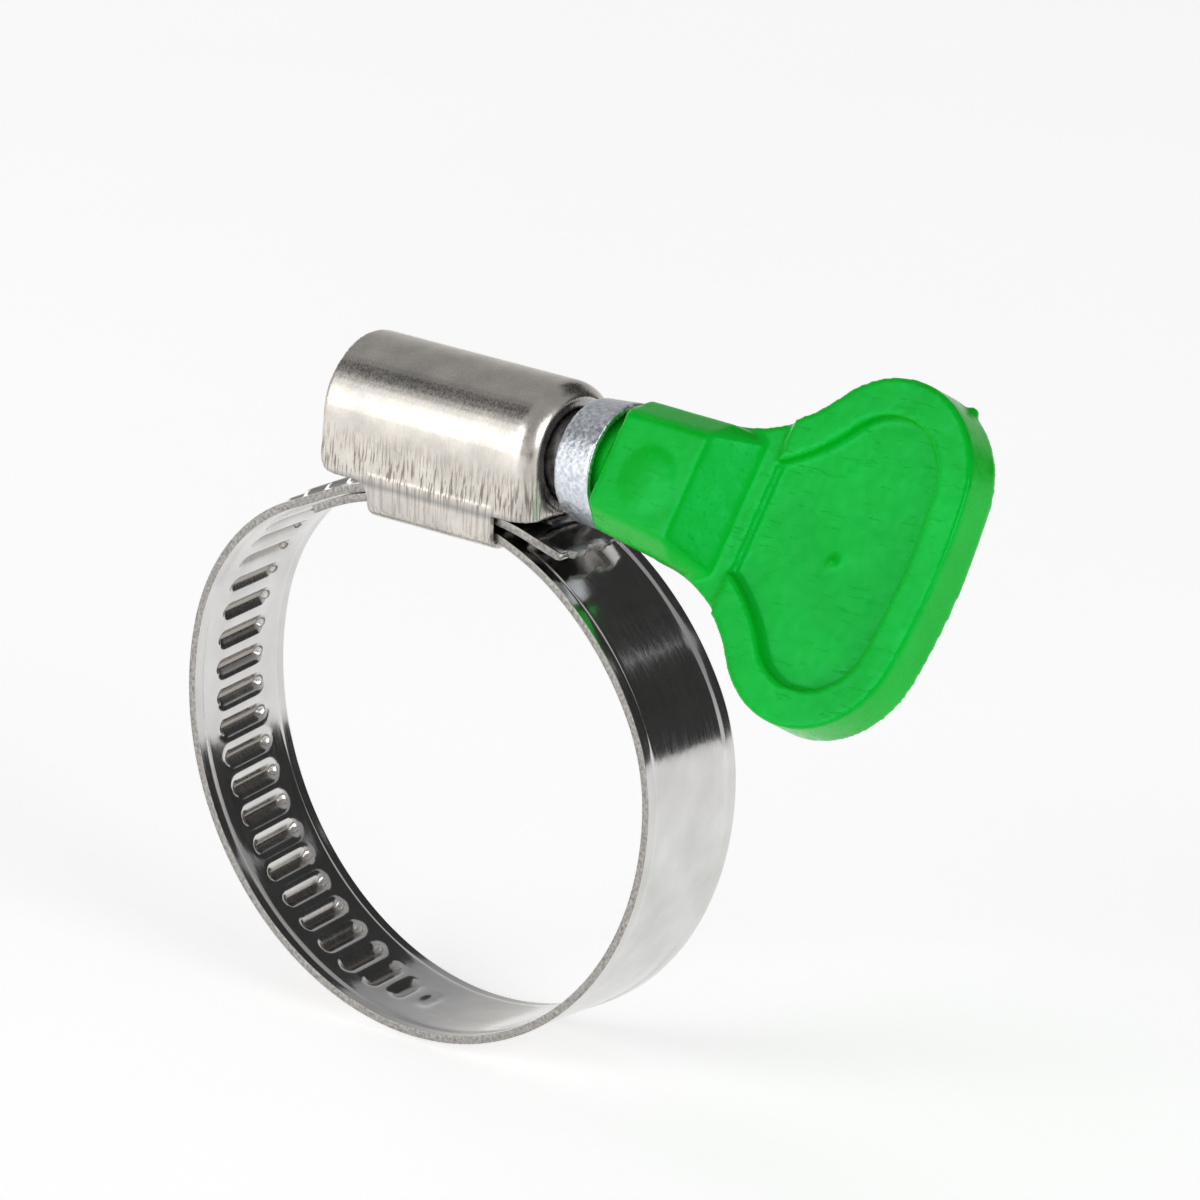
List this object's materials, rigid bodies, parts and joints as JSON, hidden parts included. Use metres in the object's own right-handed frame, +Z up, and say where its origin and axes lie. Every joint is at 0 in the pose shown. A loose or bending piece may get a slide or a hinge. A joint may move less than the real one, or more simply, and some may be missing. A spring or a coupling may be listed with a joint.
{
  "type": "hose clamp",
  "caption": "Worm-drive hose clamp: polished steel band, stamped housing, worm screw, and a green plastic wing key for hand tightening.",
  "frame": {"origin": "centre of the hose bore, at the middle of the band's width", "axes": "+X along the worm screw towards the key, +Y along the hose, +Z up through the housing"},
  "size_m": [0.0563, 0.0133, 0.0464],
  "materials": {
    "band_steel": "polished",
    "housing_steel": "satin",
    "screw_zinc": "zinc plated, satin",
    "key_plastic": "semi-gloss"
  },
  "bodies": {
    "clamp": {"band_loop": "band_steel", "housing": "housing_steel"},
    "threaded_end": {"band_tail": "band_steel"},
    "screw": {"worm_screw": "screw_zinc", "thumb_key": "key_plastic"}
  },
  "joints": [
    {"name": "screw_turn", "type": "hinge", "parent": "clamp", "child": "screw", "pos_m": [0, 0, 0.01927], "axis": [-1, 0, 0], "range_deg": [-180, 1080]},
    {"name": "band_slide", "type": "hinge", "parent": "clamp", "child": "threaded_end", "pos_m": [0.0005, 0, -0.0027], "axis": [0, 1, 0], "range_deg": [-3, 17.6], "deforming": ["band_loop"]}
  ],
  "couplings": [
    {"joint": "band_slide", "follows": "screw_turn", "ratio": 0.016171}
  ]
}
